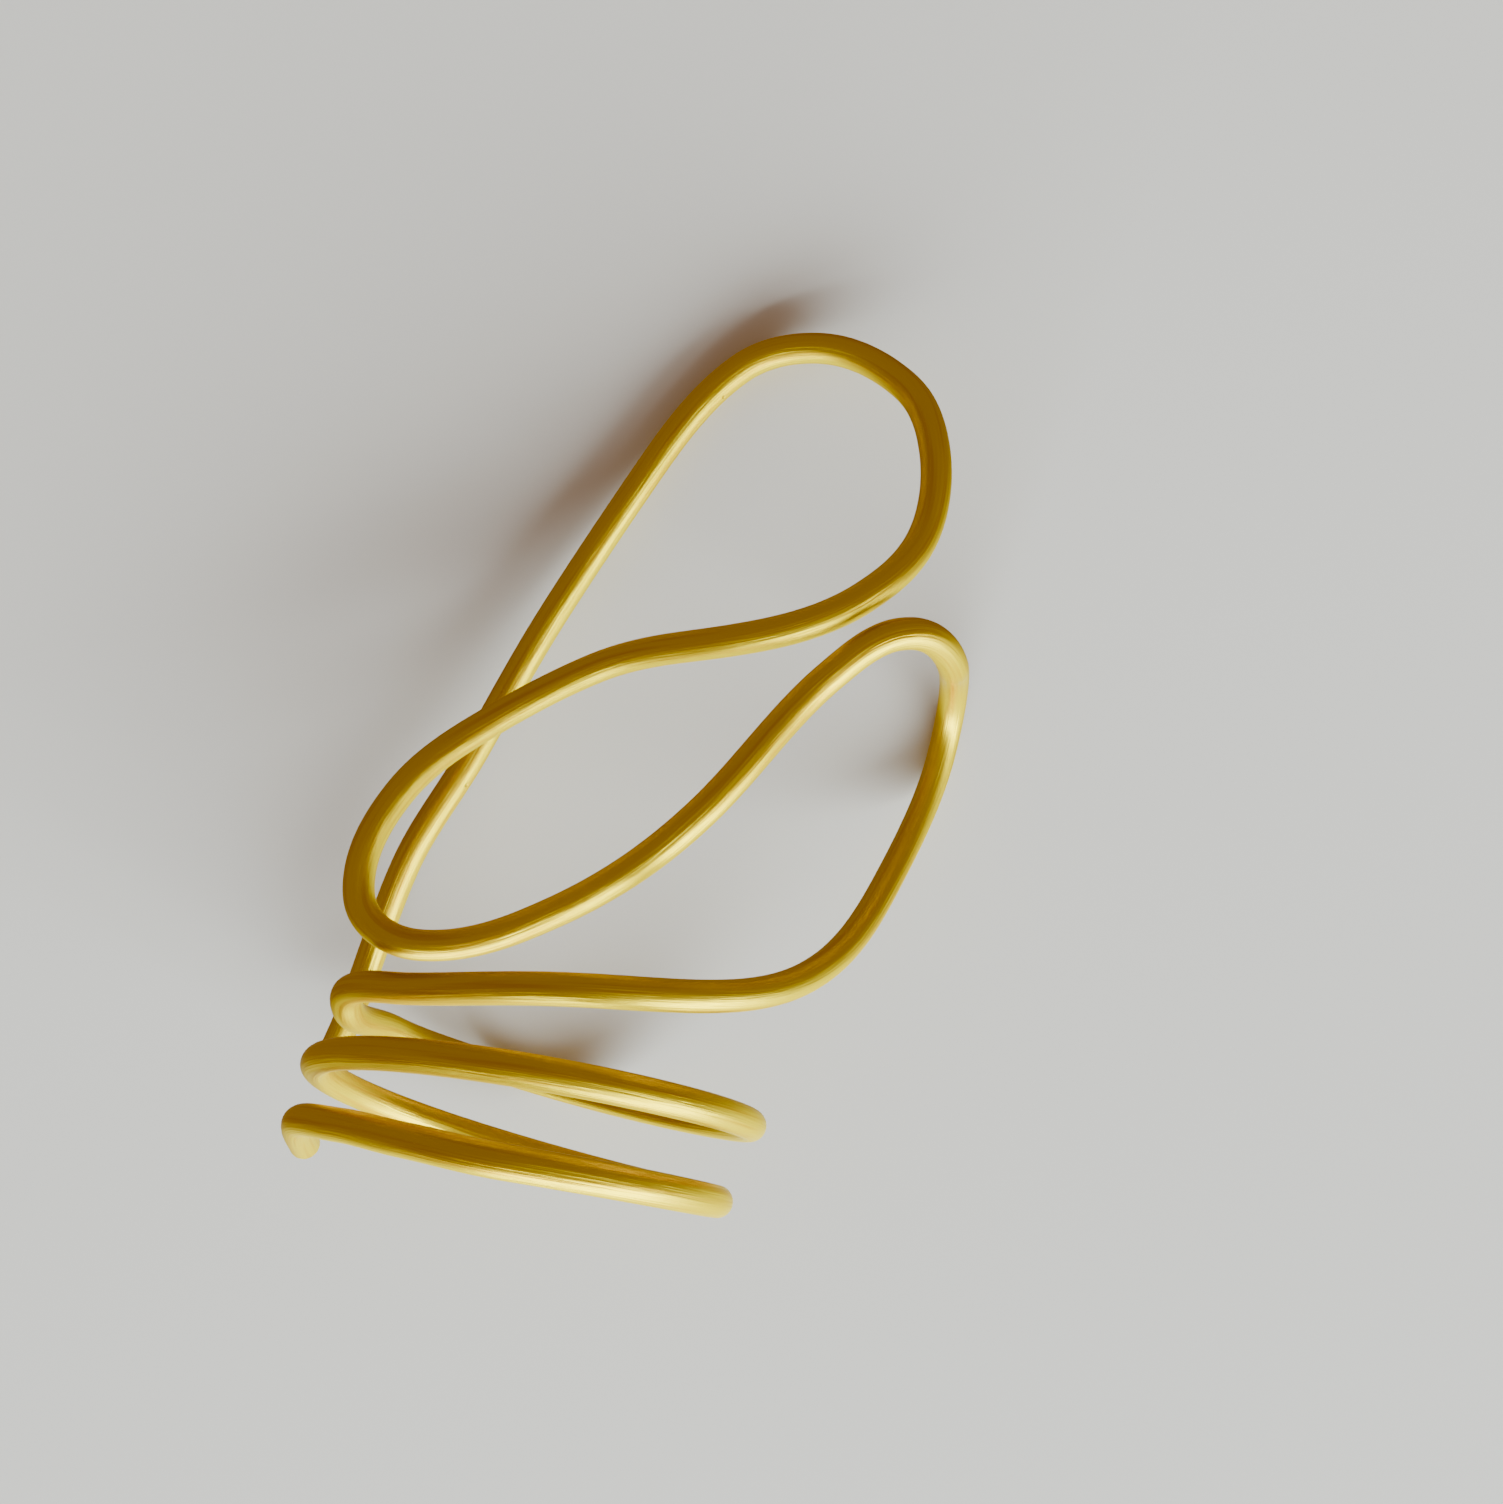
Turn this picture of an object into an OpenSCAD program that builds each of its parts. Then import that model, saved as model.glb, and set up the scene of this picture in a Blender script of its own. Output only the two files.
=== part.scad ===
// A finger ring bent from one length of round brass wire, lying on a table.
// The wire starts at a cut end beside the finger coil and goes round the coil. It crosses
// the front as a band, comes down and up again as the right arm, doubles back through the
// middle loop, swings round the top loop and comes home as a long strand low over the table.
// +X is to the right and +Y goes away from the coil, towards the two loops.

/* [Wire] */
// Diameter of the round wire
wire_d = 1.3; // [1:0.05:1.4]
// Radius of the filed edge round each cut end
end_round = 0.4; // [0.1:0.05:0.5]

/* [Finger coil] */
// Radius of the first turn, to the middle of the wire
coil_r = 8.75; // [8.5:0.05:9]
// How much the radius grows in one turn
coil_growth = 0.25; // [0:0.05:0.5]
// Turns that the coil makes
coil_turns = 1.55; // [1.5:0.05:1.6]
// Middle of the first turn, to the right
coil_x = -5.8; // [-6.2:0.1:-5.4]
// Middle of the first turn, towards the loops
coil_y = -13.7; // [-14:0.05:-13.4]
// Middle of the first turn, above the table
coil_z = 10.94; // [10.5:0.01:11.5]
// Step from one turn to the next, to the right
step_x = 1.2; // [0.8:0.1:1.6]
// Step from one turn to the next, towards the loops
step_y = 2.6; // [2.2:0.1:3]
// Drop from one turn to the next
step_down = 1.7; // [1.5:0.1:1.9]
// Direction that the coil faces, turned left from +X
coil_facing = 75; // [70:1:80]
// How far the coil nods down towards the loops
coil_nod = 32; // [28:1:36]

/* [Mesh] */
// Flat sides round the wire
wire_sides = 14; // [8:1:16]
// Length of wire between two rings of the mesh
ring_gap = 1; // [1:0.1:3]

/* [Hidden] */
wire_r = wire_d / 2;

// Rows of bends: the middle of the wire at x, y and z, the heading of the wire there, turned
// left from +X, and its climb above level. The wire runs from the first row to the last.
HEADING = 3;
CLIMB = 4;

// From the cut end up to the top of the coil
//   x,    y,     z,   heading, climb
tail_bends = [
    [-14.9, -14.1,  7.4,  78,  50], // cut end
    [-14.1, -11.3, 11.0,  65,  50], // left side
    [-11.4,  -9.6, 14.6,  22,  44], // rise
    [ -8.6,  -9.1, 16.8,   5,  30]  // near the top
];

// From the coil through the band and both loops to the end beside the coil
//   x,    y,     z,   heading, climb
loop_bends = [
    [-11.6, -10.4,  3.7,    123,  44], // way up to the band
    [-12.5,  -7.0,  8.5,     81,  37], // left bend of the band
    [ -9.5,  -5.4, 11.2,     14,  35], // band, left
    [ -2.8,  -4.2, 14.4,      0,   7], // band, top
    [  2.0,  -4.8, 13.7,    -12, -23], // band, right
    [  6.9,  -5.5,  9.8,      6, -49], // corner
    [ 11.0,  -3.3,  3.4,     48, -47], // right arm, coming down
    [ 13.7,   2.1, wire_r,   79,   0], // foot of the right arm
    [ 13.1,   6.7,  5.9,    128,  72], // right arm, going up
    [ 10.1,   8.7,  9.7,    188,  17], // middle loop, right bend
    [  7.5,   7.1,  9.9,    221,  -1], // lower strand, right
    [  2.4,   2.0, 11.7,    223,   7], // lower strand, highest
    [ -4.9,  -3.4,  9.4,    207, -15], // lower strand, left
    [ -9.3,  -4.4,  8.9,    175,  -2], // left bend, way in
    [-11.8,  -2.4,  8.2,     95, -20], // left bend
    [-10.2,   1.6,  6.9,     51, -14], // left bend, way out
    [ -6.1,   4.6,  5.6,     29, -13], // over the long strand
    [ -2.1,   6.6,  5.3,     24,  11], // upper strand, dip
    [  3.4,   8.2,  8.2,     13,  26], // upper strand, rise
    [  8.7,  10.0,  9.0,     30, -15], // upper strand, shoulder
    [ 11.8,  13.1,  6.4,     71, -28], // top loop, way down
    [ 12.1,  15.9,  4.9,     96, -30], // top loop, right side
    [ 11.1,  18.4,  2.9,    136, -34], // top loop, right side, low
    [  7.6,  20.0,  1.2,    177, -14], // top loop, top
    [  4.1,  19.1, wire_r,  215,   0], // top loop, where it touches the table
    [ -0.1,  14.4,  0.9,    235,   4], // top loop, left side
    [ -4.1,   8.5,  1.6,    237,   7], // long strand, start
    [ -7.7,   2.4,  2.5,    240,   7], // long strand, past the crossing
    [-10.9,  -2.8,  2.9,    245,   1], // long strand, under the left bend
    [-14.6, -11.7,  2.6,    243,  -3]  // end beside the coil
];

function unit(v) = v / norm(v);
function along(heading, climb) = [cos(climb) * cos(heading), cos(climb) * sin(heading), sin(climb)];

// A post holds a place that the wire passes and its direction there
function bend_post(row) = [[row.x, row.y, row.z], along(row[HEADING], row[CLIMB])];

// The coil, by the degrees turned since its top
coil_across = along(coil_facing - 90, 0);
coil_up = cross(coil_across, along(coil_facing, -coil_nod));
function coil_place(turned) =
    let (turn = turned / 360)
    [coil_x, coil_y, coil_z] + turn * [step_x, step_y, -step_down]
        + (coil_r + coil_growth * turn) * (sin(turned) * coil_across + cos(turned) * coil_up);
function coil_post(turned) =
    [coil_place(turned), unit(coil_place(turned + 1) - coil_place(turned - 1))];

// A smooth stretch between two posts, whose handles make a true arc where an arc fits
function handle(chord, way) = 2 / 3 * norm(chord) / (1 + way * unit(chord));
function mix(a, b, c, d, t) =
    (1 - t) ^ 3 * a + 3 * (1 - t) ^ 2 * t * b + 3 * (1 - t) * t ^ 2 * c + t ^ 3 * d;
function stretch(from, to) =
    let (
        chord = to[0] - from[0],
        leave = from[0] + from[1] * handle(chord, from[1]),
        arrive = to[0] - to[1] * handle(chord, to[1]),
        steps = ceil(norm(chord) / ring_gap)
    )
    [for (i = [0 : steps - 1]) mix(from[0], leave, arrive, to[0], i / steps)];
function through(posts) =
    [for (i = [0 : len(posts) - 2], place = stretch(posts[i], posts[i + 1])) place];

// The whole wire, by places along its middle
coil_turned = 360 * coil_turns;
coil_steps = ceil(coil_turned * PI / 180 * coil_r / ring_gap);
tail_posts = [for (row = tail_bends) bend_post(row)];
loop_posts = [for (row = loop_bends) bend_post(row)];
route = concat(
    through(concat(tail_posts, [coil_post(0)])),
    [for (i = [0 : coil_steps - 1]) coil_place(coil_turned * i / coil_steps)],
    through(concat([coil_post(coil_turned)], loop_posts)),
    [loop_posts[len(loop_posts) - 1][0]]
);
last = len(route) - 1;

// Direction of the wire at each place, and a side that follows it without twisting
ways = [for (i = [0 : last]) unit(route[min(i + 1, last)] - route[max(i - 1, 0)])];
function square_to(side, way) = unit(side - (side * way) * way);
sides = [
    for (
        i = 0, side = square_to([0, 0, 1], ways[0]);
        i <= last;
        i = i + 1, side = square_to(side, ways[min(i, last)])
    ) side
];

// A ring of the mesh, moved along the wire from its place, and the filed edge as such rings
function ring(i, moved, r) =
    [for (j = [0 : wire_sides - 1])
        let (a = 360 * j / wire_sides)
        route[i] + moved * ways[i] + r * (cos(a) * sides[i] + sin(a) * cross(ways[i], sides[i]))];
filed_edge = [for (a = [30 : 30 : 90]) [end_round * sin(a), wire_r - end_round * (1 - cos(a))]];
rings = concat(
    [for (i = [len(filed_edge) - 1 : -1 : 0]) ring(0, -filed_edge[i].x, filed_edge[i].y)],
    [for (i = [0 : last]) ring(i, 0, wire_r)],
    [for (edge = filed_edge) ring(last, edge.x, edge.y)]
);
skin = [for (ring = rings, point = ring) point];

// The footprint is centred on the origin, and the lowest point touches the table
function lowest(axis) = min([for (point = skin) point[axis]]);
function highest(axis) = max([for (point = skin) point[axis]]);
middle = [(lowest(0) + highest(0)) / 2, (lowest(1) + highest(1)) / 2, lowest(2)];

module wire_ring() {
    last_ring = len(rings) - 1;
    walls = [
        for (i = [0 : last_ring - 1], j = [0 : wire_sides - 1])
            let (here = i * wire_sides, next = (j + 1) % wire_sides)
            [here + j, here + wire_sides + j, here + wire_sides + next, here + next]
    ];
    start_cap = [for (j = [0 : wire_sides - 1]) j];
    end_cap = [for (j = [wire_sides - 1 : -1 : 0]) last_ring * wire_sides + j];
    color("#c8a23c")
    translate(-middle)
    polyhedron(points = skin, faces = concat(walls, [start_cap, end_cap]), convexity = 10);
}

wire_ring();
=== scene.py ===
"""A finger ring bent from one length of brass wire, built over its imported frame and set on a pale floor.

The wire runs from a cut end beside the finger coil, round the coil, over the front as a band, down and up
again as the right arm, back through the middle loop, round the top loop, and home as a long strand low over
the floor.
"""

import math
from collections import namedtuple

import bpy
import numpy as np
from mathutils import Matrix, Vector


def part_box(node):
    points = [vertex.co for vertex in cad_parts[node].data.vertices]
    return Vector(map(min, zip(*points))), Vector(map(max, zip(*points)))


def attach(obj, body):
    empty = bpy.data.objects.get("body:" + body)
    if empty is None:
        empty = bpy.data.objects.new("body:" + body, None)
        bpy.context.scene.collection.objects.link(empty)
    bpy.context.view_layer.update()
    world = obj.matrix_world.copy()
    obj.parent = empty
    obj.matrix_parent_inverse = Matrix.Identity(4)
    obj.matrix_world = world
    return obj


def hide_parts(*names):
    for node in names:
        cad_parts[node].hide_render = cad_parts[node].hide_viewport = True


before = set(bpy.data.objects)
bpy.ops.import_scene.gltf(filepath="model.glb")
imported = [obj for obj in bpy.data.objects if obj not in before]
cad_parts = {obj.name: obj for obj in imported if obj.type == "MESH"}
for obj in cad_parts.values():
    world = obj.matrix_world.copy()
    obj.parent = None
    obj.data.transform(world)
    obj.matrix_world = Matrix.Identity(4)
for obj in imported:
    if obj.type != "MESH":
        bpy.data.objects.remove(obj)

bl_info = {
    "name": "Bent Wire Ring",
    "version": (1, 0, 0),
    "blender": (4, 5, 0),
    "location": "3D View > Sidebar > Wire Ring",
    "description": "Bends a brass wire into a finger ring with long loops, and sets it on a pale floor",
    "category": "Add Mesh",
}

MM = 0.001
RING_NODE = "wire_ring"
CAD_LOW, CAD_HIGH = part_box(RING_NODE)

# Each cut end: rings of the mesh on its filed edge, how far its face is domed, as a share of the wire's
# radius, and the rings on that face, as shares of the face's own radius.
EDGE_RINGS = 6
END_DOME = 0.08
FACE_RINGS = (0.75, 0.5, 0.25, 0.03)

# How often the brass's patterns repeat in a millimetre, in both directions across the wire and then along
# it. Streaks are 0.25 mm wide and 8 mm long, and die lines 0.08 mm wide and 3 mm long. Real die lines are
# finer than a pixel of the render, so they are drawn this coarse to show at all.
STREAKS_PER_MM = (4.0, 4.0, 0.125)
DIE_LINES_PER_MM = (12.0, 12.0, 0.3)
DIE_LINE_DEPTH = 0.04 * MM

# The noise values at which a streak begins and is full, and between which a die line turns from the least
# rough to the most.
STREAK_BEGINS = 0.48
STREAK_FULL = 0.72
LINE_LOW = 0.25
LINE_HIGH = 0.75
LEAST_ROUGH = 0.34
MOST_ROUGH = 0.46

# Nicks are scattered all through the brass, 2 mm apart, and about one for each centimetre of wire meets
# its skin. Each reaches 0.12 mm from its middle.
NICKS_PER_MM = 0.5
NICK_REACH_MM = 0.12
NICK_DEPTH = 0.06 * MM

# The low glow is full within this cosine of the angle to its middle, and gone past the other.
GLOW_FULL = 0.95
GLOW_GONE = 0.2

SENSOR_WIDTH_MM = 36

# Sockets that share a name on a node that mixes colours.
MIX_FIRST = 6
MIX_SECOND = 7
MIX_RESULT = 2

# Rows of bends. The wire's middle is at x, y and z, in millimetres. The heading is turned left from +X
# and the climb is above level, both in degrees. The wire runs from the first row to the last.
Bend = namedtuple("Bend", "x y z heading climb")
TABLE_Z = None  # a row with this height touches the floor

# From the cut end up to the top of the coil.
TAIL_BENDS = (
    Bend(-14.9, -14.1, 7.4, 78, 50),  # cut end
    Bend(-14.1, -11.3, 11.0, 65, 50),  # left side
    Bend(-11.4, -9.6, 14.6, 22, 44),  # rise
    Bend(-8.6, -9.1, 16.8, 5, 30),  # near the top
)

# From the coil through the band and both loops to the end beside the coil.
LOOP_BENDS = (
    Bend(-11.6, -10.4, 3.7, 123, 44),  # way up to the band
    Bend(-12.5, -7.0, 8.5, 81, 37),  # left bend of the band
    Bend(-9.5, -5.4, 11.2, 14, 35),  # band, left
    Bend(-2.8, -4.2, 14.4, 0, 7),  # band, top
    Bend(2.0, -4.8, 13.7, -12, -23),  # band, right
    Bend(6.9, -5.5, 9.8, 6, -49),  # corner
    Bend(11.0, -3.3, 3.4, 48, -47),  # right arm, coming down
    Bend(13.7, 2.1, TABLE_Z, 79, 0),  # foot of the right arm
    Bend(13.1, 6.7, 5.9, 128, 72),  # right arm, going up
    Bend(10.1, 8.7, 9.7, 188, 17),  # middle loop, right bend
    Bend(7.5, 7.1, 9.9, 221, -1),  # lower strand, right
    Bend(2.4, 2.0, 11.7, 223, 7),  # lower strand, highest
    Bend(-4.9, -3.4, 9.4, 207, -15),  # lower strand, left
    Bend(-9.3, -4.4, 8.9, 175, -2),  # left bend, way in
    Bend(-11.8, -2.4, 8.2, 95, -20),  # left bend
    Bend(-10.2, 1.6, 6.9, 51, -14),  # left bend, way out
    Bend(-6.1, 4.6, 5.6, 29, -13),  # over the long strand
    Bend(-2.1, 6.6, 5.3, 24, 11),  # upper strand, dip
    Bend(3.4, 8.2, 8.2, 13, 26),  # upper strand, rise
    Bend(8.7, 10.0, 9.0, 30, -15),  # upper strand, shoulder
    Bend(11.8, 13.1, 6.4, 71, -28),  # top loop, way down
    Bend(12.1, 15.9, 4.9, 96, -30),  # top loop, right side
    Bend(11.1, 18.4, 2.9, 136, -34),  # top loop, right side, low
    Bend(7.6, 20.0, 1.2, 177, -14),  # top loop, top
    Bend(4.1, 19.1, TABLE_Z, 215, 0),  # top loop, where it touches the floor
    Bend(-0.1, 14.4, 0.9, 235, 4),  # top loop, left side
    Bend(-4.1, 8.5, 1.6, 237, 7),  # long strand, start
    Bend(-7.7, 2.4, 2.5, 240, 7),  # long strand, past the crossing
    Bend(-10.9, -2.8, 2.9, 245, 1),  # long strand, under the left bend
    Bend(-14.6, -11.7, 2.6, 243, -3),  # end beside the coil
)


def linear(hex_colour):
    """The linear colour of an sRGB hex value, with alpha 1."""
    shares = [int(hex_colour[i : i + 2], 16) / 255 for i in (1, 3, 5)]
    return [*(s / 12.92 if s <= 0.04045 else ((s + 0.055) / 1.055) ** 2.4 for s in shares), 1.0]


class WireRingSettings(bpy.types.PropertyGroup):
    """Sizes and colours of the bent wire."""

    wire_diameter: bpy.props.FloatProperty(
        name="Wire diameter",
        description="Diameter of the round wire",
        default=1.3 * MM,
        precision=5,
        unit="LENGTH",
    )
    end_round: bpy.props.FloatProperty(
        name="Filed edge",
        description="Radius of the filed edge round each cut end",
        default=0.4 * MM,
        precision=5,
        unit="LENGTH",
    )
    coil_radius: bpy.props.FloatProperty(
        name="Coil radius",
        description="Radius of the coil's first turn, to the middle of the wire",
        default=8.75 * MM,
        precision=5,
        unit="LENGTH",
    )
    coil_growth: bpy.props.FloatProperty(
        name="Coil growth",
        description="How much the coil's radius grows in one turn",
        default=0.25 * MM,
        precision=5,
        unit="LENGTH",
    )
    coil_turns: bpy.props.FloatProperty(
        name="Coil turns",
        description="Turns that the coil makes",
        default=1.55,
    )
    coil_middle: bpy.props.FloatVectorProperty(
        name="Coil middle",
        description="Middle of the coil's first turn",
        default=(-5.8 * MM, -13.7 * MM, 10.94 * MM),
        precision=5,
        unit="LENGTH",
        subtype="XYZ_LENGTH",
    )
    coil_step: bpy.props.FloatVectorProperty(
        name="Coil step",
        description="Step from one turn of the coil to the next",
        default=(1.2 * MM, 2.6 * MM, -1.7 * MM),
        precision=5,
        unit="LENGTH",
        subtype="XYZ_LENGTH",
    )
    coil_facing: bpy.props.FloatProperty(
        name="Coil facing",
        description="Direction that the coil faces, turned left from +X",
        default=math.radians(75),
        unit="ROTATION",
        subtype="ANGLE",
    )
    coil_nod: bpy.props.FloatProperty(
        name="Coil nod",
        description="How far the coil nods down towards the loops",
        default=math.radians(32),
        unit="ROTATION",
        subtype="ANGLE",
    )
    ring_gap: bpy.props.FloatProperty(
        name="Mesh spacing",
        description="Length of wire between two rings of the mesh",
        default=0.16 * MM,
        precision=5,
        unit="LENGTH",
    )
    wire_sides: bpy.props.IntProperty(
        name="Mesh sides",
        description="Flat sides round the wire",
        default=44,
    )
    brass: bpy.props.FloatVectorProperty(
        name="Brass",
        description="Colour of the clean brass",
        default=linear("#D8B608"),
        size=4,
        min=0,
        max=1,
        subtype="COLOR",
    )
    deep_brass: bpy.props.FloatVectorProperty(
        name="Deep brass",
        description="Colour of the redder streaks that the drawing die left",
        default=linear("#CB9E06"),
        size=4,
        min=0,
        max=1,
        subtype="COLOR",
    )
    edge_brass: bpy.props.FloatVectorProperty(
        name="Edge brass",
        description="Tint of what the brass mirrors along its edges",
        default=linear("#FFEFAA"),
        size=4,
        min=0,
        max=1,
        subtype="COLOR",
    )


class WireRingStage(bpy.types.PropertyGroup):
    """The floor, the light and the camera."""

    floor_size: bpy.props.FloatProperty(
        name="Floor size",
        description="Side of the square floor",
        default=4.0,
        unit="LENGTH",
    )
    floor_colour: bpy.props.FloatVectorProperty(
        name="Floor colour",
        description="Colour of the matt floor",
        default=linear("#D5CBC5"),
        size=4,
        min=0,
        max=1,
        subtype="COLOR",
    )
    window_turn: bpy.props.FloatProperty(
        name="Window turn",
        description="Direction of the window from the ring, turned left from +X",
        default=math.radians(-70),
        unit="ROTATION",
        subtype="ANGLE",
    )
    window_climb: bpy.props.FloatProperty(
        name="Window climb",
        description="How high the middle of the window is over the floor, seen from the ring",
        default=math.radians(27),
        unit="ROTATION",
        subtype="ANGLE",
    )
    window_distance: bpy.props.FloatProperty(
        name="Window distance",
        description="Distance of the window from the ring",
        default=0.8,
        unit="LENGTH",
    )
    window_width: bpy.props.FloatProperty(
        name="Window width",
        description="Width of the soft light that the window gives",
        default=1.4,
        unit="LENGTH",
    )
    window_height: bpy.props.FloatProperty(
        name="Window height",
        description="Height of the soft light that the window gives",
        default=0.42,
        unit="LENGTH",
    )
    window_power: bpy.props.FloatProperty(
        name="Window power",
        description="Power of the soft light that the window gives",
        default=29.0,
        unit="POWER",
    )
    window_colour: bpy.props.FloatVectorProperty(
        name="Window colour",
        description="Colour of the cool daylight in the window",
        default=linear("#E5FAFF")[:3],
        min=0,
        max=1,
        subtype="COLOR",
    )
    glow_climb: bpy.props.FloatProperty(
        name="Glow climb",
        description="How high the middle of the low glow under the window is, seen from the ring",
        default=math.radians(-15),
        unit="ROTATION",
        subtype="ANGLE",
    )
    glow_strength: bpy.props.FloatProperty(
        name="Glow",
        description="Strength of the low glow under the window",
        default=2.9,
    )
    room_colour: bpy.props.FloatVectorProperty(
        name="Room colour",
        description="Colour of the warm light that the room throws back from all round",
        default=linear("#FFD8B3")[:3],
        min=0,
        max=1,
        subtype="COLOR",
    )
    room_strength: bpy.props.FloatProperty(
        name="Room light",
        description="Strength of the light that the room throws back",
        default=0.34,
    )
    camera_place: bpy.props.FloatVectorProperty(
        name="Camera place",
        description="Place of the camera, nearly straight over the ring",
        default=(2.50 * MM, 15.48 * MM, 66.5 * MM),
        precision=5,
        unit="LENGTH",
        subtype="XYZ_LENGTH",
    )
    camera_turn: bpy.props.FloatVectorProperty(
        name="Camera turn",
        description="Turn of the camera from straight down",
        default=(math.radians(-12.6), math.radians(-2.3), math.radians(0.5)),
        unit="ROTATION",
        subtype="EULER",
    )
    camera_lens: bpy.props.FloatProperty(
        name="Camera lens",
        description=f"Focal length over a sensor {SENSOR_WIDTH_MM} mm wide, in millimetres",
        default=34.85,
    )


Post = namedtuple("Post", "place way")


def unit(vectors):
    """Vectors of length one."""
    vectors = np.asarray(vectors, float)
    return vectors / np.linalg.norm(vectors, axis=-1, keepdims=True)


def along(heading, climb):
    """The direction of a heading and a climb, in radians."""
    level = math.cos(climb)
    return np.array([level * math.cos(heading), level * math.sin(heading), math.sin(climb)])


def bend_post(bend, settings):
    """The place and the direction of the wire at a row of the bends."""
    height = settings.wire_diameter / 2 if bend.z is TABLE_Z else bend.z * MM
    place = np.array([bend.x * MM, bend.y * MM, height])
    return Post(place, along(math.radians(bend.heading), math.radians(bend.climb)))


def coil_place(turned, settings):
    """The wire's middle at an angle turned since the coil's top, in radians."""
    turns = turned / math.tau
    across = along(settings.coil_facing - math.pi / 2, 0)
    up = np.cross(across, along(settings.coil_facing, -settings.coil_nod))
    radius = settings.coil_radius + settings.coil_growth * turns
    middle = np.array(settings.coil_middle) + turns * np.array(settings.coil_step)
    return middle + radius * (math.sin(turned) * across + math.cos(turned) * up)


def coil_post(turned, settings):
    """The place and the direction of the coil at an angle turned since its top."""
    little = math.radians(1)
    way = unit(coil_place(turned + little, settings) - coil_place(turned - little, settings))
    return Post(coil_place(turned, settings), way)


def handle(chord, way):
    """The length of a curve's handle that makes a true arc where an arc fits."""
    return 2 / 3 * np.linalg.norm(chord) / (1 + way @ unit(chord))


def stretch(start, end, gap):
    """Places along a smooth curve from one post to the next, without the last."""
    chord = end.place - start.place
    leave = start.place + start.way * handle(chord, start.way)
    arrive = end.place - end.way * handle(chord, end.way)
    steps = math.ceil(np.linalg.norm(chord) / gap)
    t = np.arange(steps)[:, None] / steps
    return (
        (1 - t) ** 3 * start.place
        + 3 * (1 - t) ** 2 * t * leave
        + 3 * (1 - t) * t**2 * arrive
        + t**3 * end.place
    )


def through(posts, gap):
    """Places along the curve through all the posts, without the last."""
    return np.vstack([stretch(a, b, gap) for a, b in zip(posts, posts[1:])])


def wire_route(settings):
    """Places along the middle of the whole wire."""
    turned = math.tau * settings.coil_turns
    steps = math.ceil(turned * settings.coil_radius / settings.ring_gap)
    tail = [bend_post(bend, settings) for bend in TAIL_BENDS]
    loops = [bend_post(bend, settings) for bend in LOOP_BENDS]
    return np.vstack(
        [
            through([*tail, coil_post(0, settings)], settings.ring_gap),
            [coil_place(turned * i / steps, settings) for i in range(steps)],
            through([coil_post(turned, settings), *loops], settings.ring_gap),
            [loops[-1].place],
        ]
    )


def untwisted_sides(ways):
    """A side of the wire at each place, that follows its bends without twisting."""
    side = np.array([0.0, 0.0, 1.0])
    sides = []
    for way in ways:
        side = unit(side - (side @ way) * way)
        sides.append(side)
    return np.array(sides)


def filed_end(radius, edge):
    """Rows of how far out and how wide a cut end is, from its shoulder to its slightly domed face."""
    round_part = [
        (edge * math.sin(a), radius - edge * (1 - math.cos(a)))
        for a in np.linspace(0, math.pi / 2, EDGE_RINGS + 1)[1:]
    ]
    face = radius - edge
    dome = END_DOME * radius
    face_part = [(edge + dome * (1 - share**2), face * share) for share in FACE_RINGS]
    return round_part + face_part


def fit_to_cad(points):
    """Moves the points so that their box has the middle of the CAD box, and its floor."""
    points -= points.min(0) / 2 + points.max(0) / 2 - (np.array(CAD_LOW) + np.array(CAD_HIGH)) / 2
    points[:, 2] += CAD_LOW[2] - points[:, 2].min()


def tube_faces(ring_count, sides):
    """Faces of a tube of rings of points, with a cap at each end."""
    first = np.arange(ring_count - 1)[:, None] * sides
    here = first + np.arange(sides)
    beside = first + (np.arange(sides) + 1) % sides
    walls = np.stack([here, beside, beside + sides, here + sides], axis=-1).reshape(-1, 4)
    first_cap = list(range(sides))[::-1]
    last_cap = [(ring_count - 1) * sides + i for i in range(sides)]
    return [*walls.tolist(), first_cap, last_cap]


def tube_mesh(name, settings):
    """The wire's mesh, with each point's place on the straight wire in millimetres as an attribute."""
    route = wire_route(settings)
    ways = unit(np.gradient(route, axis=0))
    sides = untwisted_sides(ways)
    lengths = np.concatenate([[0], np.cumsum(np.linalg.norm(np.diff(route, axis=0), axis=1))])
    radius = settings.wire_diameter / 2
    last = len(route) - 1
    end = filed_end(radius, settings.end_round)
    rows = [(0, -out, wide) for out, wide in reversed(end)]
    rows += [(i, 0.0, radius) for i in range(last + 1)]
    rows += [(last, out, wide) for out, wide in end]
    at, out, wide = (np.array(column) for column in zip(*rows))

    turn = np.arange(settings.wire_sides) / settings.wire_sides * math.tau
    round_x = wide[:, None] * np.cos(turn)
    round_y = wide[:, None] * np.sin(turn)
    centres = route[at] + out[:, None] * ways[at]
    points = (
        centres[:, None]
        + round_x[..., None] * sides[at][:, None]
        + round_y[..., None] * np.cross(ways[at], sides[at])[:, None]
    ).reshape(-1, 3)
    fit_to_cad(points)

    mesh = bpy.data.meshes.new(name)
    mesh.from_pydata(points.tolist(), [], tube_faces(len(rows), settings.wire_sides))
    mesh.shade_smooth()
    straight = np.stack(
        [round_x, round_y, np.broadcast_to((lengths[at] + out)[:, None], round_x.shape)], axis=-1
    )
    attribute = mesh.attributes.new("straight_mm", "FLOAT_VECTOR", "POINT")
    attribute.data.foreach_set("vector", (straight / MM).ravel())
    return mesh


def add_node(tree, kind, settings=None, inputs=None):
    """Adds a node of that kind to the tree, with its settings, and with a value or a link for each input."""
    node = tree.nodes.new(kind)
    for name, value in (settings or {}).items():
        setattr(node, name, value)
    for name, value in (inputs or {}).items():
        if isinstance(value, bpy.types.NodeSocket):
            tree.links.new(value, node.inputs[name])
        else:
            node.inputs[name].default_value = value
    return node


def new_material(name):
    """A material with an empty node tree."""
    material = bpy.data.materials.new(name)
    material.use_nodes = True
    material.node_tree.nodes.clear()
    return material


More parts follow.
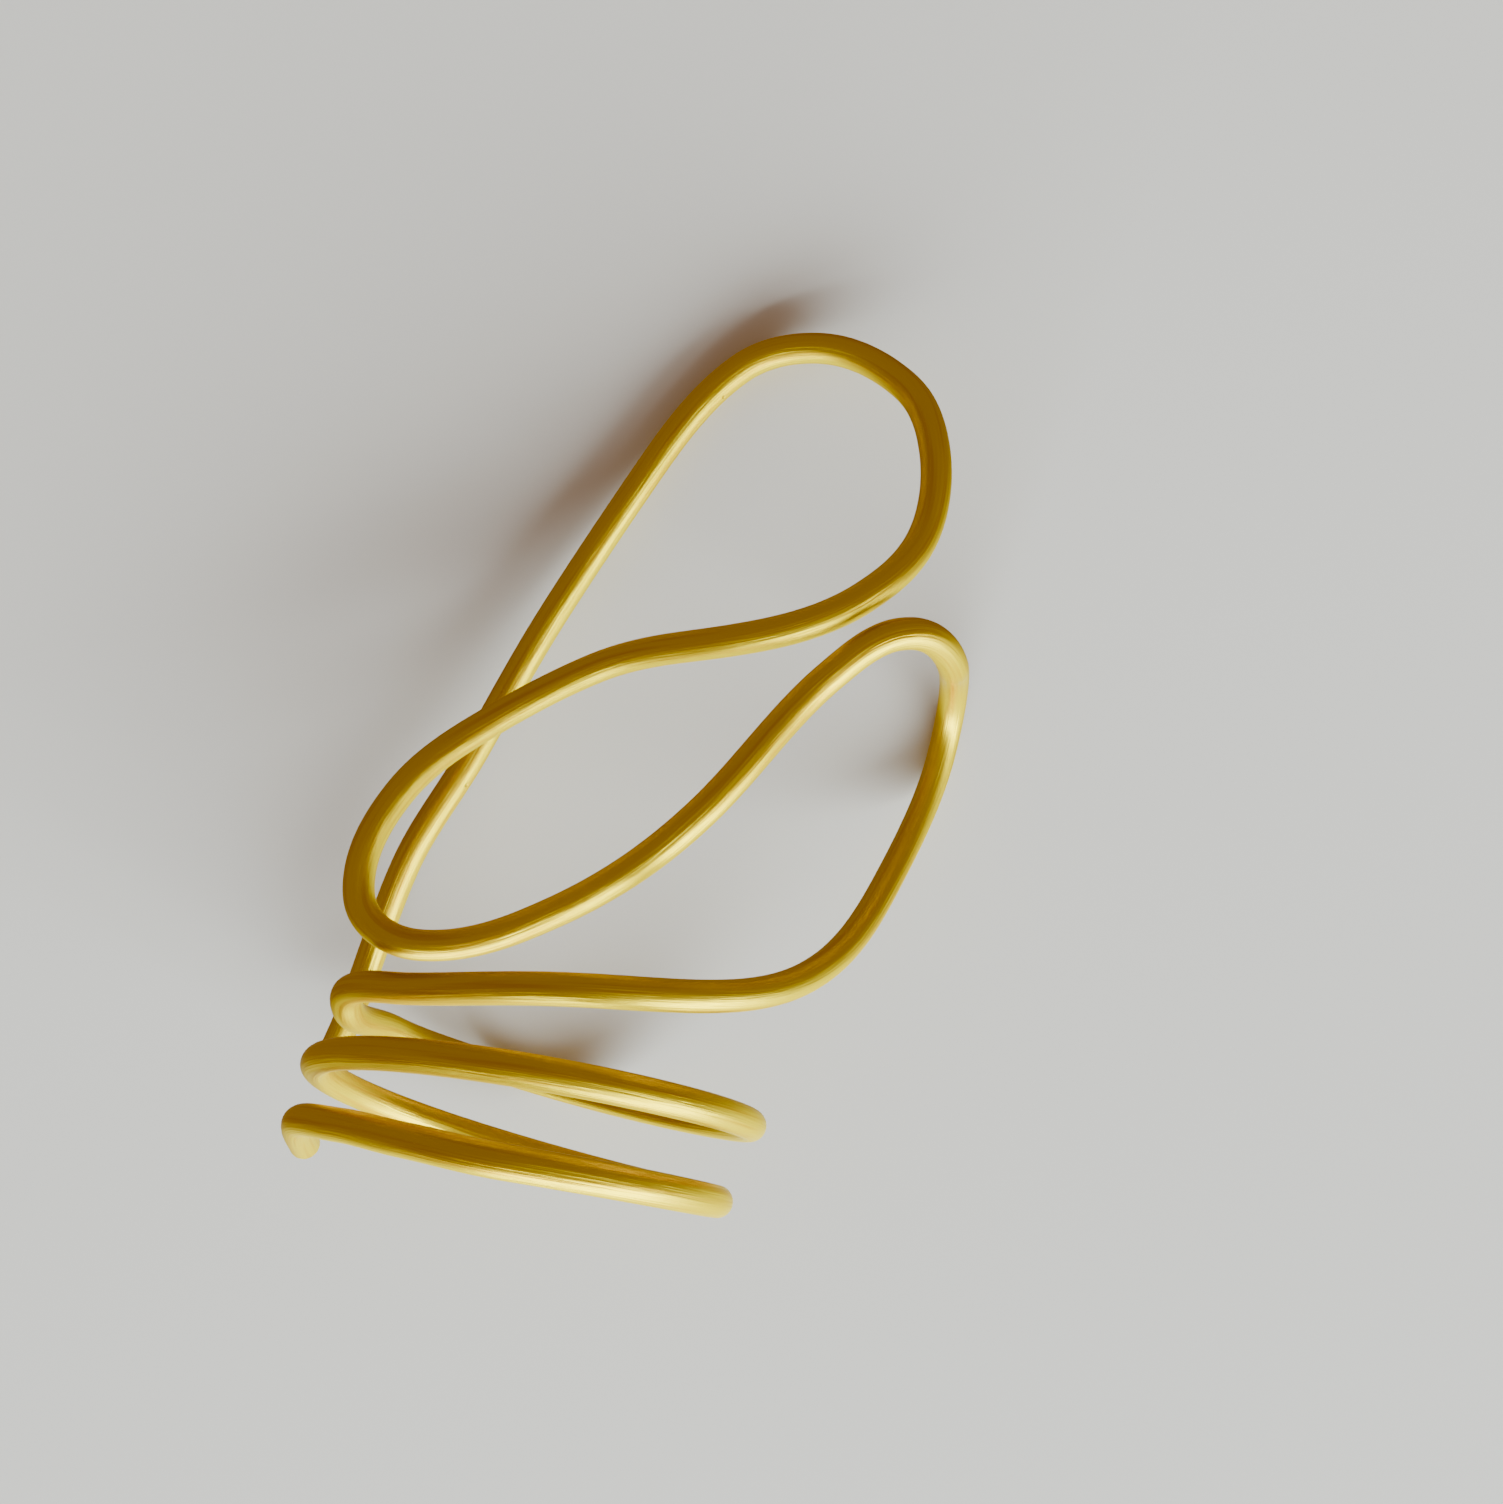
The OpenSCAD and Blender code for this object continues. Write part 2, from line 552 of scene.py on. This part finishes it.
def drawn_brass(settings):
    """Brass wire, drawn through a die and rubbed to a satin: fine lines run along it, and they give
    the long highlights their soft edge. A few redder streaks and small nicks from the pliers stay."""
    material = new_material("brass_drawn_wire_satin")
    tree = material.node_tree
    straight = add_node(tree, "ShaderNodeAttribute", {"attribute_name": "straight_mm"}).outputs["Vector"]

    streak_place = add_node(
        tree, "ShaderNodeVectorMath", {"operation": "MULTIPLY"}, {0: straight, 1: STREAKS_PER_MM}
    ).outputs["Vector"]
    streaks = add_node(
        tree, "ShaderNodeTexNoise", {}, {"Vector": streak_place, "Scale": 1.0, "Detail": 2.0}
    ).outputs["Fac"]
    line_place = add_node(
        tree, "ShaderNodeVectorMath", {"operation": "MULTIPLY"}, {0: straight, 1: DIE_LINES_PER_MM}
    ).outputs["Vector"]
    lines = add_node(
        tree, "ShaderNodeTexNoise", {}, {"Vector": line_place, "Scale": 1.0, "Detail": 3.0}
    ).outputs["Fac"]

    streak_share = add_node(
        tree,
        "ShaderNodeMapRange",
        {"interpolation_type": "SMOOTHSTEP"},
        {"Value": streaks, "From Min": STREAK_BEGINS, "From Max": STREAK_FULL},
    ).outputs["Result"]
    colour = add_node(
        tree,
        "ShaderNodeMix",
        {"data_type": "RGBA"},
        {"Factor": streak_share, MIX_FIRST: settings.brass[:], MIX_SECOND: settings.deep_brass[:]},
    ).outputs[MIX_RESULT]
    roughness = add_node(
        tree,
        "ShaderNodeMapRange",
        {},
        {
            "Value": lines,
            "From Min": LINE_LOW,
            "From Max": LINE_HIGH,
            "To Min": LEAST_ROUGH,
            "To Max": MOST_ROUGH,
        },
    ).outputs["Result"]

    nick_distance = add_node(
        tree, "ShaderNodeTexVoronoi", {}, {"Vector": straight, "Scale": NICKS_PER_MM}
    ).outputs["Distance"]
    nick_height = add_node(
        tree,
        "ShaderNodeMapRange",
        {"interpolation_type": "SMOOTHSTEP"},
        {"Value": nick_distance, "From Min": 0.0, "From Max": NICK_REACH_MM * NICKS_PER_MM},
    ).outputs["Result"]
    lined = add_node(
        tree, "ShaderNodeBump", {}, {"Strength": 0.8, "Distance": DIE_LINE_DEPTH, "Height": lines}
    )
    nicked = add_node(
        tree,
        "ShaderNodeBump",
        {},
        {
            "Strength": 1.0,
            "Distance": NICK_DEPTH,
            "Height": nick_height,
            "Normal": lined.outputs["Normal"],
        },
    )
    shader = add_node(
        tree,
        "ShaderNodeBsdfPrincipled",
        {},
        {
            "Base Color": colour,
            "Metallic": 1.0,
            "Roughness": roughness,
            "Specular Tint": settings.edge_brass[:],
            "Normal": nicked.outputs["Normal"],
        },
    )
    add_node(tree, "ShaderNodeOutputMaterial", {}, {"Surface": shader.outputs["BSDF"]})
    return material


def matt_plaster(stage):
    """Fine plaster, trowelled flat and painted: it throws back an even pale light."""
    material = new_material("plaster_trowelled_pale")
    tree = material.node_tree
    shader = add_node(
        tree, "ShaderNodeBsdfPrincipled", {}, {"Base Color": stage.floor_colour[:], "Roughness": 0.9}
    )
    add_node(tree, "ShaderNodeOutputMaterial", {}, {"Surface": shader.outputs["BSDF"]})
    return material


def show(name, data):
    """Puts new data in the scene as an object."""
    made = bpy.data.objects.new(name, data)
    bpy.context.scene.collection.objects.link(made)
    return made


class WIRERING_OT_bend_wire(bpy.types.Operator):
    """Bend the brass wire along its coil, band and loops"""

    bl_idname = "wire_ring.bend_wire"
    bl_label = "Bend Wire"
    bl_options = {"REGISTER", "UNDO"}

    def execute(self, context):
        settings = context.scene.wire_ring
        wire = show("bent_wire", tube_mesh("bent_wire", settings))
        wire.data.materials.append(drawn_brass(settings))
        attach(wire, "root")
        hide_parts(RING_NODE)
        return {"FINISHED"}


class WIRERING_OT_set_stage(bpy.types.Operator):
    """Lay the pale floor and set the soft light and the camera"""

    bl_idname = "wire_ring.set_stage"
    bl_label = "Set Stage"
    bl_options = {"REGISTER", "UNDO"}

    def execute(self, context):
        stage = context.scene.wire_ring_stage
        self.lay_floor(stage)
        self.set_window(stage)
        self.set_room(context, stage)
        self.set_camera(context, stage)
        return {"FINISHED"}

    def lay_floor(self, stage):
        """A square of pale plaster under the ring."""
        half = stage.floor_size / 2
        mesh = bpy.data.meshes.new("floor")
        corners = [(-half, -half, 0), (half, -half, 0), (half, half, 0), (-half, half, 0)]
        mesh.from_pydata(corners, [], [(0, 1, 2, 3)])
        mesh.materials.append(matt_plaster(stage))
        floor = show("floor", mesh)
        # The metal mirrors the room in place of the floor, which would give its far side a pale rim.
        floor.visible_glossy = False

    def set_window(self, stage):
        """A wide soft window on the near side, a little to the right."""
        lamp = bpy.data.lights.new("window", "AREA")
        lamp.shape = "RECTANGLE"
        lamp.size = stage.window_width
        lamp.size_y = stage.window_height
        lamp.energy = stage.window_power
        lamp.color = stage.window_colour
        light = show("window", lamp)
        light.location = stage.window_distance * along(stage.window_turn, stage.window_climb)
        light.rotation_euler = (-light.location).to_track_quat("-Z", "Y").to_euler()

    def set_room(self, context, stage):
        """A warm and rather dark room, with a low glow under the window that lights the wire's near side."""
        world = bpy.data.worlds.new("room")
        world.use_nodes = True
        tree = world.node_tree
        tree.nodes.clear()
        direction = add_node(tree, "ShaderNodeTexCoord").outputs["Generated"]
        towards_glow = add_node(
            tree,
            "ShaderNodeVectorMath",
            {"operation": "DOT_PRODUCT"},
            {0: direction, 1: along(stage.window_turn, stage.glow_climb)},
        ).outputs["Value"]
        glow_share = add_node(
            tree,
            "ShaderNodeMapRange",
            {"interpolation_type": "SMOOTHSTEP"},
            {"Value": towards_glow, "From Min": GLOW_GONE, "From Max": GLOW_FULL},
        ).outputs["Result"]
        room = add_node(
            tree,
            "ShaderNodeBackground",
            {},
            {"Color": (*stage.room_colour, 1), "Strength": stage.room_strength},
        ).outputs["Background"]
        glow = add_node(
            tree,
            "ShaderNodeBackground",
            {},
            {"Color": (*stage.window_colour, 1), "Strength": stage.glow_strength},
        ).outputs["Background"]
        mixed = add_node(tree, "ShaderNodeMixShader", {}, {0: glow_share, 1: room, 2: glow})
        add_node(tree, "ShaderNodeOutputWorld", {}, {"Surface": mixed.outputs["Shader"]})
        context.scene.world = world

    def set_camera(self, context, stage):
        """A camera that looks nearly straight down, as in the photograph."""
        lens = bpy.data.cameras.new("camera")
        lens.lens = stage.camera_lens
        lens.sensor_width = SENSOR_WIDTH_MM
        lens.clip_start = 1 * MM  # the camera stands only a few centimetres from the ring
        camera = show("camera", lens)
        camera.location = stage.camera_place
        camera.rotation_euler = stage.camera_turn
        context.scene.camera = camera


class WIRERING_PT_panel(bpy.types.Panel):
    """The wire ring's steps and sizes"""

    bl_idname = "WIRERING_PT_panel"
    bl_label = "Wire Ring"
    bl_space_type = "VIEW_3D"
    bl_region_type = "UI"
    bl_category = "Wire Ring"

    def draw(self, context):
        layout = self.layout
        for operator in OPERATORS:
            layout.operator(operator.bl_idname)
        for settings in (context.scene.wire_ring, context.scene.wire_ring_stage):
            for name in settings.__annotations__:
                layout.prop(settings, name)


OPERATORS = (WIRERING_OT_bend_wire, WIRERING_OT_set_stage)
CLASSES = (WireRingSettings, WireRingStage, *OPERATORS, WIRERING_PT_panel)


def register():
    for cls in CLASSES:
        bpy.utils.register_class(cls)
    bpy.types.Scene.wire_ring = bpy.props.PointerProperty(type=WireRingSettings)
    bpy.types.Scene.wire_ring_stage = bpy.props.PointerProperty(type=WireRingStage)


def unregister():
    del bpy.types.Scene.wire_ring_stage
    del bpy.types.Scene.wire_ring
    for cls in reversed(CLASSES):
        bpy.utils.unregister_class(cls)


def main():
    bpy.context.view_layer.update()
    register()
    bpy.ops.wire_ring.bend_wire()
    bpy.ops.wire_ring.set_stage()


if __name__ == "__main__":
    main()
